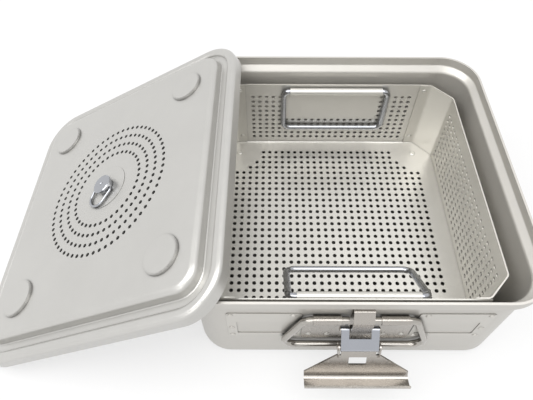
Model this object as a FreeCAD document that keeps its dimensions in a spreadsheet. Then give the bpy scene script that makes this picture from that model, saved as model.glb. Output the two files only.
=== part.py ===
import FreeCAD, Part
import math
import os
from FreeCAD import Placement, Rotation, Vector

# Half-size rigid sterilization container, in millimetres.
# The origin is the centre of the tub's underside, +Z is up and -Y is the front.

os.makedirs("parts", exist_ok=True)
doc = FreeCAD.newDocument("sterilization_container")

# Driving sizes
SIZES = {
    "tub_sheet": 2.0,
    "rim_half_x": 145.0,
    "rim_half_y": 137.0,
    "rim_height": 135.0,
    "rim_corner": 36.0,
    "rim_flare": 6.0,
    "lip_depth": 10.0,
    "bottom_radius": 10.0,
    "run_gap": 0.05,
    "seat_gap": 0.3,
    "basket_gap_x": 8.7,
    "basket_gap_y": 7.8,
    "basket_half_x": "=rim_half_x - rim_flare - tub_sheet - basket_gap_x",
    "basket_half_y": "=rim_half_y - rim_flare - tub_sheet - basket_gap_y",
    "basket_height": 98.8,
    "basket_floor": 9.0,
    "basket_sheet": 1.2,
    "basket_shift": 4.8,
    "basket_chamfer": 19.5,
    "basket_tab": 12.5,
    "basket_lift": 150.0,
    "bail_wire": 6.0,
    "bail_shift": 4.3,
    "bail_half_width": 58.0,
    "bail_length": 60.0,
    "bail_axis_drop": 6.3,
    "bail_clip_half": 51.0,
    "clip_sheet": 1.0,
    "clip_drop": 14.0,
    "front_bail_angle": 46.0,
    "handle_wire": 6.0,
    "handle_axis_drop": 38.0,
    "handle_axis_height": "=rim_height - handle_axis_drop",
    "handle_drop": 58.7,
    "handle_half_width": 61.0,
    "barrel_inner": 16.0,
    "barrel_outer": 38.7,
    "hinge_sheet": 0.9,
    "hinge_foot": "=handle_axis_height - 51",
    "rod_wire": 4.0,
    "rod_drop": 49.2,
    "rod_height": "=rim_height - rod_drop",
    "rod_reach": 7.6,
    "strap_half": 8.3,
    "strap_sheet": 1.2,
    "strap_foot": "=rod_height - 15.8",
    "link_half": 15.5,
    "link_length": 15.9,
    "notch_depth": 3.8,
    "link_angle": 40.0,
    "lever_angle": 20.0,
    "lever_sheet": 1.4,
    "lever_narrow": 14.6,
    "lever_half": 44.3,
    "lever_flare_start": 9.2,
    "lever_flare_end": 31.0,
    "lever_length": 38.0,
    "lever_lip": 11.5,
    "window_width": 15.0,
    "window_height": 9.7,
    "ear_inner": 16.2,
    "ear_sheet": 1.2,
    "frame_inner": 47.5,
    "frame_outer": 109.0,
    "frame_high": "=rim_height - 33.5",
    "frame_low": "=frame_high - 52.5",
    "frame_sheet": 0.6,
    "window_inner": 51.0,
    "window_outer": 101.0,
    "window_low": "=frame_low + 8",
    "window_high": "=window_low + 26",
    "rivet_head": 5.0,
    "rivet_shank": 3.0,
    "rivet_rise": 1.0,
    "foot_width": 8.0,
    "lid_sheet": 1.5,
    "lid_gap": 0.8,
    "lid_depth": 20.0,
    "lid_shift_y": -3.0,
    "lid_reach": 233.0,
    "bead_width": 9.0,
    "bead_drop": 7.0,
    "groove_drop": 10.5,
    "panel_inset": 20.0,
    "vent_width": 4.0,
    "vent_first": 41.0,
    "vent_step": 10.0,
    "boss_width": 35.0,
    "boss_rise": 2.4,
    "boss_edge": 1.5,
    "boss_inset": 53.3,
    "plate_radius": 84.0,
    "plate_depth": 7.0,
    "plate_sheet": 1.0,
    "filter_sheet": 0.4,
    "spindle_width": 8.0,
    "knob_width": 20.0,
    "knob_height": 7.5,
    "knob_angle": 60.0,
    "ring_wire": 2.2,
    "ring_reach": 22.0,
    "gasket_height": 3.0,
}
dims = doc.addObject("Spreadsheet::Sheet", "dims")
for row, (name, value) in enumerate(SIZES.items(), start=1):
    dims.set("A%d" % row, name)
    dims.set("B%d" % row, str(value))
    dims.setAlias("B%d" % row, name)
doc.recompute()


def size(name):
    return float(dims.get(name))


NODES = []


# Construction helpers
def new_body(label, placement=None):
    body = doc.addObject("PartDesign::Body", label)
    body.Label = label
    body.Placement = placement or Placement()
    NODES.append(body)
    return body


def new_sketch(body, role, edges, offset=0.0):
    sketch = body.newObject("Sketcher::SketchObject", body.Name + "_sketch")
    plane = next(f for f in body.Origin.OriginFeatures if f.Role == role)
    sketch.AttachmentSupport = [(plane, "")]
    sketch.MapMode = "FlatFace"
    sketch.AttachmentOffset = Placement(Vector(0, 0, offset), Rotation())
    sketch.addGeometry(edges, False)
    return sketch


def pad(body, sketch, length, symmetric=False, reverse=False):
    feature = body.newObject("PartDesign::Pad", body.Name + "_pad")
    feature.Profile = sketch
    feature.setExpression("Length", length)
    feature.Midplane = symmetric
    feature.Reversed = reverse
    body.Tip = feature
    return feature


def pocket(body, sketch, length, symmetric=False, reverse=False):
    feature = body.newObject("PartDesign::Pocket", body.Name + "_pocket")
    feature.Profile = sketch
    feature.setExpression("Length", length)
    feature.Midplane = symmetric
    feature.Reversed = reverse
    body.Tip = feature
    return feature


def sweep(body, profile, spine):
    feature = body.newObject("PartDesign::AdditivePipe", body.Name + "_sweep")
    feature.Profile = profile
    feature.Spine = spine
    body.Tip = feature
    return feature


def ring_pattern(body, feature, axis_role, count):
    pattern = body.newObject("PartDesign::PolarPattern", body.Name + "_ring")
    pattern.Originals = [feature]
    axis = next(f for f in body.Origin.OriginFeatures if f.Role == axis_role)
    pattern.Axis = (axis, [""])
    pattern.Angle = 360
    pattern.Occurrences = count
    body.Tip = pattern
    return pattern


def line(a, b):
    return Part.LineSegment(Vector(a[0], a[1], 0), Vector(b[0], b[1], 0))


def polygon(points):
    return [line(a, b) for a, b in zip(points, points[1:] + points[:1])]


def rectangle(x0, y0, x1, y1):
    return polygon([(x0, y0), (x1, y0), (x1, y1), (x0, y1)])


def circle(x, y, radius):
    return Part.Circle(Vector(x, y, 0), Vector(0, 0, 1), radius)


def facets(x, y, radius, sides):
    """Round hole or button drawn with few flat sides."""
    turns = [2 * math.pi * i / sides for i in range(sides)]
    return [(x + radius * math.cos(t), y + radius * math.sin(t)) for t in turns]


def bend(before, corner, after, radius):
    """Tangent points, centre and turn of a bend at a corner."""
    a = Vector(corner[0] - before[0], corner[1] - before[1], 0).normalize()
    b = Vector(after[0] - corner[0], after[1] - corner[1], 0).normalize()
    turn = math.atan2(a.x * b.y - a.y * b.x, a.dot(b))
    reach = radius * math.tan(abs(turn) / 2)
    point = Vector(corner[0], corner[1], 0)
    left = Vector(-a.y, a.x, 0) * math.copysign(1, turn)
    first = point - a * reach
    return first, point + b * reach, first + left * radius, turn, a, b


def rounded(points, radii, closed=False, side=0.0):
    """Lines and arcs along a polyline, moved sideways by side (left is +)."""
    count = len(points)
    parts = []
    ends = []
    for i, point in enumerate(points):
        if not closed and i in (0, count - 1):
            other = points[1] if i == 0 else points[-2]
            a = Vector(point[0] - other[0], point[1] - other[1], 0).normalize()
            a = a * (-1 if i == 0 else 1)
            here = Vector(point[0], point[1], 0) + Vector(-a.y, a.x, 0) * side
            ends.append((here, here, None))
            continue
        radius = radii[i]
        first, last, centre, turn, a, b = bend(points[i - 1], point, points[(i + 1) % count], radius)
        first = first + Vector(-a.y, a.x, 0) * side
        last = last + Vector(-b.y, b.x, 0) * side
        middle = first + last - centre * 2
        if middle.Length < 1e-9:
            middle = a
        middle = centre + middle.normalize() * (first - centre).Length
        ends.append((first, last, middle))
    for i, (first, last, middle) in enumerate(ends):
        if middle is not None:
            parts.append(Part.Arc(first, middle, last))
        if i + 1 < count or closed:
            start = ends[(i + 1) % count][0]
            if (start - last).Length > 1e-6:
                parts.append(Part.LineSegment(last, start))
    return parts, ends[0][0], ends[-1][1]


def strip(points, radii, sheet):
    """Closed outline of a bent sheet about its middle line."""
    one, a0, a1 = rounded(points, radii, side=sheet / 2)
    two, b0, b1 = rounded(points, radii, side=-sheet / 2)
    return one + two + [Part.LineSegment(a0, b0), Part.LineSegment(a1, b1)]


def rounded_rectangle(half_x, half_y, radius, x=0.0, y=0.0):
    corners = [(x - half_x, y - half_y), (x + half_x, y - half_y)]
    corners += [(x + half_x, y + half_y), (x - half_x, y + half_y)]
    return rounded(corners, [radius] * 4, closed=True)[0]


def outline(points, radii):
    return rounded(points, radii, closed=True)[0]


def curl(foot, axis, wire, sheet):
    """Leaf that lies on a wall at x = 0 and rolls outwards round a wire."""
    radius = wire / 2 + size("run_gap") + sheet / 2
    near = -sheet / 2
    far = near - 2 * radius
    path = [(near, foot), (near, axis + radius), (far, axis + radius)]
    path += [(far, axis - radius), (near - radius, axis - radius)]
    return strip(path, [0, radius, radius, radius, 0], sheet), near - radius


# Sizes that follow from the driving ones
SHEET = size("tub_sheet")
WALL_X = size("rim_half_x") - size("rim_flare")
WALL_Y = size("rim_half_y") - size("rim_flare")
WALL_CORNER = size("rim_corner") - size("rim_flare")
BASKET = Placement(Vector(-size("basket_shift"), 0, size("basket_floor")), Rotation())
HANDLE_REACH = size("hinge_sheet") + size("handle_wire") / 2 + size("run_gap")
BAIL_REACH = size("clip_sheet") + size("bail_wire") / 2 + size("run_gap")
TURNED = Rotation(Vector(0, 0, 1), 180)
SIDES = {"front": Placement(Vector(0, -WALL_Y, 0), Rotation()), "back": Placement(Vector(0, WALL_Y, 0), TURNED)}


def spots_on_wall():
    """Rivet places on one end wall: x and z of hinge leaf and latch bracket."""
    leaf = size("hinge_foot") + 11
    middle = (size("strap_foot") + size("rod_height")) / 2 - 2
    near = size("barrel_inner") + 8
    far = size("barrel_outer") + 1.3
    spots = [(x, leaf) for x in (-far, -near, near, far)]
    return spots + [(-4.5, middle), (4.5, middle)]


def frame_spots():
    """Rivet places on the two label frames of the front wall."""
    low = size("frame_low") + 4
    high = size("frame_high") - 4
    inner = size("frame_inner")
    outer = size("frame_outer") - 3.5
    spots = [(inner + 4, low), (inner + 7, high), (outer, low), (outer, low + 17), (outer, high)]
    return [(side * x, z) for side in (-1, 1) for x, z in spots]


# Tub: one deep-drawn shell swept round its own outline
def make_tub():
    body = new_body("tub_shell")
    middle_x = WALL_X - SHEET / 2
    middle_y = WALL_Y - SHEET / 2
    radius = WALL_CORNER - SHEET / 2
    low = size("bottom_radius")
    ledge = size("rim_height") - size("lip_depth")
    flare = size("rim_flare")
    path = [(WALL_X - low, SHEET / 2), (middle_x, SHEET / 2), (middle_x, ledge - flare)]
    path += [(middle_x + flare, ledge), (middle_x + flare, size("rim_height"))]
    profile = new_sketch(body, "XZ_Plane", strip(path, [0, low - SHEET / 2, 3, 3, 0], SHEET))
    spine = new_sketch(body, "XY_Plane", rounded_rectangle(middle_x, middle_y, radius))
    sweep(body, profile, spine)
    flat_x = WALL_X - low + 0.5
    flat_y = WALL_Y - low + 0.5
    floor = rounded_rectangle(flat_x, flat_y, WALL_CORNER - low + 0.5)
    pad(body, new_sketch(body, "XY_Plane", floor), "dims.tub_sheet")
    radius = size("rivet_shank") / 2
    front = [circle(x, z, radius) for x, z in spots_on_wall() + frame_spots()]
    back = [circle(-x, z, radius) for x, z in spots_on_wall()]
    depth = "dims.tub_sheet * 2"
    pocket(body, new_sketch(body, "XZ_Plane", front, WALL_Y), depth, symmetric=True)
    pocket(body, new_sketch(body, "XZ_Plane", back, -WALL_Y), depth, symmetric=True)
    return body


# Rivets, each a domed button on a short shank, gathered in one group
def button(levels, sides=10):
    """Stacked buttons: radius and height from the lowest level up."""
    solids = []
    for (r0, z0), (r1, z1) in zip(levels, levels[1:]):
        if z1 - z0 < 1e-6:
            continue
        wires = []
        for radius, z in ((r0, z0), (r1, z1)):
            corners = [Vector(x, y, z) for x, y in facets(0, 0, radius, sides)]
            wires.append(Part.makePolygon(corners + corners[:1]))
        solids.append(Part.makeLoft(wires, True, True))
    return solids[0].fuse(solids[1:]).removeSplitter()


def rivet_shape(rise, grip):
    head = size("rivet_head") / 2
    shank = size("rivet_shank") / 2
    return button([(shank, -grip), (shank, 0), (head, 0), (head, rise * 0.4), (head * 0.6, rise)])


def rivet_group(label, places, grip):
    """places are (point, outward direction)."""
    group = doc.addObject("Part::Feature", label)
    group.Label = label
    shape = rivet_shape(size("rivet_rise"), grip)
    copies = []
    for point, direction in places:
        copy = shape.copy()
        copy.Placement = Placement(point, Rotation(Vector(0, 0, 1), direction))
        copies.append(copy)
    group.Shape = Part.makeCompound(copies)
    NODES.append(group)
    return group


def make_tub_rivets():
    grip = SHEET + size("hinge_sheet")
    places = []
    for name, side in SIDES.items():
        out = side.Rotation.multVec(Vector(0, -1, 0))
        for i, (x, z) in enumerate(spots_on_wall()):
            leaf = size("hinge_sheet") if i < 4 else size("strap_sheet")
            places.append((side.multVec(Vector(x, -leaf, z)), out))
    rivet_group("hinge_rivets", places, grip)
    places = [(SIDES["front"].multVec(Vector(x, -size("frame_sheet"), z)), Vector(0, -1, 0)) for x, z in frame_spots()]
    rivet_group("label_rivets", places, SHEET + size("frame_sheet"))


# Label frames: a thin plate with a window for a card, riveted to the front wall
def make_label_frame(label, side):
    body = new_body(label, SIDES["front"])
    inner = size("frame_inner")
    outer = size("frame_outer")
    low = size("frame_low")
    high = size("frame_high")
    middle = side * (inner + outer) / 2
    plate = rounded_rectangle((outer - inner) / 2, (high - low) / 2, 3, middle, (low + high) / 2)
    holes = [circle(x, z, size("rivet_shank") / 2) for x, z in frame_spots() if x * side > 0]
    left = size("window_inner")
    right = size("window_outer")
    bottom = size("window_low")
    top = size("window_high")
    across = side * (left + right) / 2
    window = rounded_rectangle((right - left) / 2, (top - bottom) / 2, 1.5, across, (bottom + top) / 2)
    pad(body, new_sketch(body, "XZ_Plane", plate + holes + window), "dims.frame_sheet")


# Carrying handles: a bent wire whose ends turn in rolled sleeves
def make_handle(label, place):
    body = new_body(label, place)
    wire = size("handle_wire") / 2
    top = size("handle_axis_height")
    low = top - size("handle_drop")
    corner = size("handle_half_width") + 4.5
    end = size("strap_half") + 1.2
    knee = size("barrel_outer") + 6.3
    path = [(end, top), (knee, top), (corner, low), (-corner, low), (-knee, top), (-end, top)]
    spine = new_sketch(body, "XZ_Plane", rounded(path, [0, 9, 12.5, 12.5, 9, 0])[0], HANDLE_REACH)
    profile = new_sketch(body, "YZ_Plane", [circle(-HANDLE_REACH, top, wire)], end)
    sweep(body, profile, spine)


def make_handle_hinge(label, place):
    body = new_body(label, place)
    foot = size("hinge_foot")
    axis = size("handle_axis_height")
    sheet = size("hinge_sheet")
    gap = size("strap_half") + 2.4
    profile, reach = curl(foot + 30, axis, size("handle_wire"), sheet)
    inner = size("barrel_inner")
    length = "dims.barrel_outer - dims.barrel_inner"
    pad(body, new_sketch(body, "YZ_Plane", profile, inner), length)
    pad(body, new_sketch(body, "YZ_Plane", profile, -size("barrel_outer")), length)
    top = foot + 38
    neck = foot + 18
    wide = size("barrel_outer") + 7.3
    points = [(-wide, foot), (wide, foot), (wide, top), (gap, top), (gap, neck), (-gap, neck), (-gap, top), (-wide, top)]
    holes = [circle(x, z, size("rivet_shank") / 2) for x, z in spots_on_wall()[:4]]
    leaf = outline(points, [4, 4, 4, 2, 4, 4, 2, 4])
    pad(body, new_sketch(body, "XZ_Plane", leaf + holes), "dims.hinge_sheet")


# Latch: strap bracket, rod, link, pin and flared lever
def make_bracket(label, place):
    body = new_body(label, place)
    sheet = size("strap_sheet")
    radius = size("rod_wire") / 2 + size("run_gap") + sheet / 2
    rod = size("rod_height")
    out = -size("rod_reach")
    top = size("rim_height") - size("lip_depth") - size("rim_flare") - 2.5
    near = -sheet / 2
    path = [(near, size("strap_foot")), (near, top), (near - 4.4, top), (out - radius, rod + 22)]
    path += [(out - radius, rod - radius), (out + radius, rod - radius), (out + radius, rod + 2)]
    profile = strip(path, [0, 1.6, 2, 6, radius, radius, 0], sheet)
    pad(body, new_sketch(body, "YZ_Plane", profile), "dims.strap_half * 2", symmetric=True)
    holes = [circle(x, z, size("rivet_shank") / 2) for x, z in spots_on_wall()[4:]]
    pocket(body, new_sketch(body, "XZ_Plane", holes), "dims.strap_sheet * 2.4", symmetric=True)


def headed_pin(radius, half, head, rise):
    points = [(0, -half - rise), (head * 0.6, -half - rise), (head, -half - rise * 0.4), (head, -half)]
    points += [(radius, -half), (radius, half), (head, half), (head, half + rise * 0.4)]
    points += [(head * 0.6, half + rise), (0, half + rise)]
    wire = Part.makePolygon([Vector(x, 0, z) for x, z in points + points[:1]])
    shape = Part.Face(wire).revolve(Vector(0, 0, 0), Vector(0, 0, 1), 360)
    shape.rotate(Vector(0, 0, 0), Vector(0, 1, 0), 90)
    return shape


def pivot_place(side, along=0.0):
    """Pivot of the lever, from the rod along the link."""
    angle = math.radians(size("link_angle"))
    y = -size("rod_reach") - along * math.sin(angle)
    z = size("rod_height") - along * math.cos(angle)
    return side.multiply(Placement(Vector(0, y, z), Rotation()))


def make_pin(label, shape, places):
    feature = doc.addObject("Part::Feature", label)
    feature.Label = label
    copies = []
    for place in places:
        copy = shape.copy()
        copy.Placement = place.multiply(copy.Placement)
        copies.append(copy)
    feature.Shape = Part.makeCompound(copies) if len(copies) > 1 else copies[0]
    NODES.append(feature)


def make_link(label, side):
    tilt = Rotation(Vector(1, 0, 0), -size("link_angle"))
    place = pivot_place(side).multiply(Placement(Vector(), tilt))
    body = new_body(label, place)
    sheet = size("strap_sheet")
    radius = size("rod_wire") / 2 + size("run_gap") + sheet / 2
    low = -size("link_length")
    path = [(radius, 0), (radius, radius), (-radius, radius), (-radius, low - radius), (radius, low - radius), (radius, low)]
    profile = strip(path, [0, radius, radius, radius, radius, 0], sheet)
    pad(body, new_sketch(body, "YZ_Plane", profile), "dims.link_half * 2", symmetric=True)
    half = size("strap_half") + 0.7
    notch = rectangle(-half, -radius - size("notch_depth"), half, 2 * radius)
    pocket(body, new_sketch(body, "XZ_Plane", notch), "dims.link_length * 2", symmetric=True)


def make_lever(label, side):
    tilt = Rotation(Vector(1, 0, 0), -size("lever_angle"))
    place = pivot_place(side, size("link_length")).multiply(Placement(Vector(), tilt))
    body = new_body(label, place)
    sheet = size("lever_sheet")
    start = -size("rod_wire") / 2 - size("strap_sheet") - 1.0
    end = -size("lever_length") + sheet / 2
    lip = -size("lever_lip")
    path = [(0, start), (0, end), (lip, end), (lip - 1, end + 4)]
    profile = strip(path, [0, 4.5, 2.2, 0], sheet)
    pad(body, new_sketch(body, "YZ_Plane", profile), "dims.lever_half * 2", symmetric=True)
    half = size("lever_half")
    narrow = size("lever_narrow")
    ear = size("ear_inner") + size("ear_sheet")
    flare = -size("lever_flare_start")
    wide = -size("lever_flare_end")
    for sign in (-1, 1):
        edge = [(narrow, 0), (narrow, flare), (ear + 0.6, flare), (half, wide), (half + 2, wide), (half + 2, 0)]
        cut = polygon([(sign * x, z) for x, z in edge])
        pocket(body, new_sketch(body, "XZ_Plane", cut), "dims.lever_sheet * 3", symmetric=True)
    height = size("window_height") / 2
    slot = rounded_rectangle(size("window_width") / 2, height, 0.8, 0, -16.5)
    pocket(body, new_sketch(body, "XZ_Plane", slot), "dims.lever_sheet * 3", symmetric=True)
    tail = [(-4, 4), (4, 4), (4, -4), (0.7, flare - 3), (-0.7, flare - 3), (-4, -4)]
    hole = circle(0, 0, size("rod_wire") / 2 + size("run_gap") / 2)
    for offset in (size("ear_inner"), -ear):
        flange = outline(tail, [3.2, 3.2, 3, 0.5, 0.5, 3]) + [hole]
        pad(body, new_sketch(body, "YZ_Plane", flange, offset), "dims.ear_sheet")


# Basket: a folded floor panel, two wrapped side panels, bails in rolled clips
def make_basket_floor():
    body = new_body("basket_floor", BASKET)
    sheet = size("basket_sheet")
    half_y = size("basket_half_y") + sheet / 2
    top = size("basket_height")
    points = [(-half_y, top), (-half_y, -sheet / 2), (half_y, -sheet / 2), (half_y, top)]
    profile = strip(points, [0, 3.0, 3.0, 0], sheet)
    half_x = size("basket_half_x") + sheet
    pad(body, new_sketch(body, "YZ_Plane", profile, -half_x), "(dims.basket_half_x + dims.basket_sheet) * 2")
    cut = size("basket_chamfer")
    reach = half_x + 1
    wall_end = size("basket_half_x") - cut + 1.5
    deep = size("basket_half_y") + 6
    inner = size("basket_half_y") - cut
    for x_sign in (-1, 1):
        for y_sign in (-1, 1):
            corner = [(wall_end, deep), (wall_end, size("basket_half_y") + sheet * 0.2), (reach, inner + 0.6), (reach, deep)]
            edges = polygon([(x_sign * x, y_sign * y) for x, y in corner])
            sketch = new_sketch(body, "XY_Plane", edges, -2 * sheet)
            pocket(body, sketch, "dims.basket_height + 10", reverse=True)
    holes = []
    for x, z in wall_spots():
        holes.append(circle(x, z, size("rivet_shank") / 2))
    sketch = new_sketch(body, "XZ_Plane", holes)
    pocket(body, sketch, "dims.basket_half_y * 2 + 20", symmetric=True)
    feet = [circle(x, y, size("rivet_shank") / 2) for x, y in foot_spots()]
    pocket(body, new_sketch(body, "XY_Plane", feet), "dims.basket_sheet * 4", symmetric=True)


def clip_spots():
    """Rivet places on a bail clip, from the middle of the clip."""
    high = size("basket_height") - size("clip_drop") - size("bail_axis_drop") + 7
    return [(x, high) for x in (-0.88 * size("bail_clip_half"), 0, 0.88 * size("bail_clip_half"))]


def wall_spots():
    """Rivet places on a long wall: tab rivets and clip rivets."""
    tab = size("basket_half_x") - size("basket_chamfer") - size("basket_tab") / 2
    high = size("basket_height") - 8
    spots = [(x, z) for x in (-tab, tab) for z in (13, high)]
    return spots + [(x + size("bail_shift"), z) for x, z in clip_spots()]


def foot_spots():
    x = size("basket_half_x") - 22
    y = size("basket_half_y") - 18
    return [(sx * x, sy * y) for sx in (-1, 1) for sy in (-1, 1)]


def make_basket_side(label, turn):
    body = new_body(label, BASKET.multiply(Placement(Vector(), Rotation(Vector(0, 0, 1), turn))))
    sheet = size("basket_sheet")
    half_x = size("basket_half_x") + sheet / 2
    half_y = size("basket_half_y") - sheet / 2
    cut = size("basket_chamfer")
    tab = half_x - cut - size("basket_tab")
    path = [(tab, -half_y), (half_x - cut, -half_y), (half_x, cut - half_y), (half_x, half_y - cut)]
    path += [(half_x - cut, half_y), (tab, half_y)]
    profile = strip(path, [0, 2, 2, 2, 2, 0], sheet)
    pad(body, new_sketch(body, "XY_Plane", profile), "dims.basket_height")
    for sign in (-1, 1):
        fold = rectangle(sign * (half_y - 3), -1, sign * (half_y + 2), 3.2)
        relief = new_sketch(body, "YZ_Plane", fold, tab - 2)
        pocket(body, relief, "dims.basket_tab + dims.basket_chamfer + 4", reverse=True)
    holes = [circle(x, z, size("rivet_shank") / 2) for x, z in wall_spots()[:4] if x > 0]
    pocket(body, new_sketch(body, "XZ_Plane", holes), "dims.basket_half_y * 2 + 20", symmetric=True)


def make_basket_rivets():
    wall = size("basket_half_y")
    tab = size("basket_sheet")
    places = []
    for sign in (-1, 1):
        for i, (x, z) in enumerate(wall_spots()):
            inside = wall - (tab if i < 4 else size("clip_sheet"))
            places.append((BASKET.multVec(Vector(x, sign * inside, z)), Vector(0, -sign, 0)))
    rivet_group("basket_rivets", places, 2 * tab)


def make_basket_feet():
    radius = size("foot_width") / 2
    under = size("basket_sheet")
    low = size("tub_sheet") + size("seat_gap") - size("basket_floor")
    shank = size("rivet_shank") / 2
    levels = [(radius - 1, low), (radius, low + 1), (radius, -under), (shank, -under), (shank, 0)]
    shape = button(levels + [(3.4, 0), (3.4, 0.4), (2.4, 1)], 12)
    places = [BASKET.multiply(Placement(Vector(x, y, 0), Rotation())) for x, y in foot_spots()]
    make_pin("basket_feet", shape, places)


def bail_side(name):
    """Wall frame of a bail: x = 0 on the wall's inner face, inwards is -Y."""
    turn = Rotation() if name == "back" else TURNED
    sign = 1 if name == "back" else -1
    return BASKET.multiply(Placement(Vector(size("bail_shift"), sign * size("basket_half_y"), 0), turn))


def make_clip(name):
    body = new_body("bail_clip_" + name, bail_side(name))
    axis = size("basket_height") - size("bail_axis_drop")
    profile, reach = curl(axis - size("clip_drop"), axis, size("bail_wire"), size("clip_sheet"))
    pad(body, new_sketch(body, "YZ_Plane", profile), "dims.bail_clip_half * 2", symmetric=True)
    holes = [circle(x, z, size("rivet_shank") / 2) for x, z in clip_spots()]
    pocket(body, new_sketch(body, "XZ_Plane", holes), "dims.clip_sheet * 2.4", symmetric=True)


def make_bail(name, angle):
    axis = size("basket_height") - size("bail_axis_drop")
    hinge = bail_side(name).multiply(Placement(Vector(0, -BAIL_REACH, axis), Rotation(Vector(1, 0, 0), -angle)))
    body = new_body("bail_" + name, hinge)
    wire = size("bail_wire") / 2
    half = size("bail_half_width")
    low = -size("bail_length")
    corners = [(-half, 0), (half, 0), (half, low), (-half, low)]
    spine = new_sketch(body, "XZ_Plane", outline(corners, [6.5, 6.5, 9, 9]))
    profile = new_sketch(body, "YZ_Plane", [circle(0, low, wire)])
    sweep(body, profile, spine)


# Lid, leaned with its left edge on the table and its underside on the rim
LID_U = size("rim_half_y") + size("lid_gap") + size("lid_sheet")
LID_V = size("rim_half_x") + size("lid_gap") + size("lid_sheet")
LID_CORNER = size("rim_corner") + size("lid_gap") + size("lid_sheet")


def lid_place():
    """One skirt edge on the table, the skirt's far corners over the rim."""
    inner = LID_CORNER - size("lid_sheet")
    across = size("rim_half_y") + abs(size("lid_shift_y")) - LID_V + LID_CORNER
    contact = LID_U - LID_CORNER + math.sqrt(max(inner ** 2 - across ** 2, 0))
    tilt = math.asin((size("rim_height") + size("seat_gap")) / (LID_U + contact))
    height = LID_U * math.sin(tilt) + size("lid_depth") * math.cos(tilt)
    turn = Rotation(Vector(0, 1, 0), -math.degrees(tilt))
    return Placement(Vector(-size("lid_reach"), size("lid_shift_y"), height), turn)


LID = lid_place()


def make_lid():
    body = new_body("lid_shell", LID)
    sheet = size("lid_sheet")
    edge = LID_U - sheet / 2
    bead = size("bead_width") - sheet
    top = -sheet / 2
    bead_top = top - size("bead_drop")
    groove = top - size("groove_drop")
    panel = LID_U - size("panel_inset")
    path = [(panel - 9, top), (panel, top), (panel + 2, groove), (edge - bead - 1.5, groove)]
    path += [(edge - bead - 0.5, bead_top), (edge, bead_top), (edge, -size("lid_depth"))]
    profile = new_sketch(body, "XZ_Plane", strip(path, [0, 4.5, 2, 1.6, 2.8, 3.2, 0], sheet))
    corner = LID_CORNER - sheet / 2
    spine = new_sketch(body, "XY_Plane", rounded_rectangle(edge, LID_V - sheet / 2, corner))
    sweep(body, profile, spine)
    inset = size("panel_inset") + 8.5
    field = rounded_rectangle(LID_U - inset, LID_V - inset, LID_CORNER - inset)
    pad(body, new_sketch(body, "XY_Plane", field), "dims.lid_sheet", reverse=True)
    for inset, share in ((0, 0.5), (0.2, 0.78), (0.55, 0.93), (1, 1)):
        radius = size("boss_width") / 2 - inset * size("boss_edge")
        button_edge = new_sketch(body, "XY_Plane", [circle(x, y, radius) for x, y in boss_spots()])
        pad(body, button_edge, "dims.boss_rise * %.2f" % share)
    hollow = [circle(x, y, size("boss_width") / 2 - 2 * sheet) for x, y in boss_spots()]
    pocket(body, new_sketch(body, "XY_Plane", hollow, -2 * sheet), "dims.boss_rise + dims.lid_sheet", reverse=True)
    seat = [circle(0, 0, 23)]
    pad(body, new_sketch(body, "XY_Plane", seat), "0.4 mm")
    bore = [circle(0, 0, size("spindle_width") / 2 + size("run_gap"))]
    pocket(body, new_sketch(body, "XY_Plane", bore), "10 mm", symmetric=True)
    for ring, count in enumerate((38, 46, 54, 62)):
        radius = size("vent_first") + ring * size("vent_step")
        hole = new_sketch(body, "XY_Plane", polygon(facets(radius, 0, size("vent_width") / 2, 8)))
        vent = pocket(body, hole, "dims.lid_sheet * 3", symmetric=True)
        ring_pattern(body, vent, "Z_Axis", count)


def boss_spots():
    x = LID_U - size("boss_inset")
    y = LID_V - size("boss_inset")
    return [(sx * x, sy * y) for sx in (-1, 1) for sy in (-1, 1)]


def make_gasket():
    body = new_body("lid_gasket", LID)
    inner = LID_U - size("bead_width") + size("lid_sheet") + size("seat_gap")
    outer = LID_U - size("lid_sheet") - size("seat_gap")
    top = -size("bead_drop") - size("lid_sheet") - size("seat_gap")
    low = top - size("gasket_height")
    middle = (inner + outer) / 2
    path = outline([(inner, low), (outer, low), (outer, top), (inner, top)], [0.8, 0.8, 1.6, 1.6])
    profile = new_sketch(body, "XZ_Plane", path)
    away = LID_U - middle
    spine = new_sketch(body, "XY_Plane", rounded_rectangle(middle, LID_V - away, LID_CORNER - away))
    sweep(body, profile, spine)


def make_filter():
    disc = doc.addObject("Part::Cylinder", "filter_disc")
    disc.Label = "filter_disc"
    disc.setExpression("Radius", "dims.plate_radius - 10")
    disc.setExpression("Height", "dims.filter_sheet")
    core = doc.addObject("Part::Cylinder", "filter_core")
    core.setExpression("Radius", "dims.spindle_width / 2 + 1")
    core.setExpression("Height", "dims.filter_sheet")
    cut = doc.addObject("Part::Cut", "filter_paper")
    cut.Base = disc
    cut.Tool = core
    disc.Label = "filter_blank"
    cut.Label = "filter_disc"
    low = size("plate_sheet") / 2 + size("seat_gap") - size("lid_sheet") - size("plate_depth")
    cut.Placement = LID.multiply(Placement(Vector(0, 0, low), Rotation()))
    NODES.append(cut)


def make_retention_plate():
    body = new_body("retention_plate", LID)
    sheet = size("plate_sheet")
    top = -size("lid_sheet") - size("run_gap") - sheet / 2
    low = -size("lid_sheet") - size("plate_depth")
    radius = size("plate_radius")
    path = [(size("spindle_width") / 2 + 0.3, low), (radius - 8, low), (radius - 5, top), (radius, top)]
    profile = new_sketch(body, "XZ_Plane", strip(path, [0, 2, 2, 0], sheet))
    turned = body.newObject("PartDesign::Revolution", "retention_plate_turned")
    turned.Profile = profile
    turned.ReferenceAxis = (profile, ["V_Axis"])
    turned.Angle = 360
    body.Tip = turned
    for radius, count in ((24, 6), (42, 10), (60, 14)):
        hole = new_sketch(body, "XY_Plane", polygon(facets(radius, 0, 5, 12)))
        vent = pocket(body, hole, "dims.plate_depth * 4", symmetric=True)
        ring_pattern(body, vent, "Z_Axis", count)


KNOB = LID.multiply(Placement(Vector(), Rotation(Vector(0, 0, 1), size("knob_angle"))))


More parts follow.
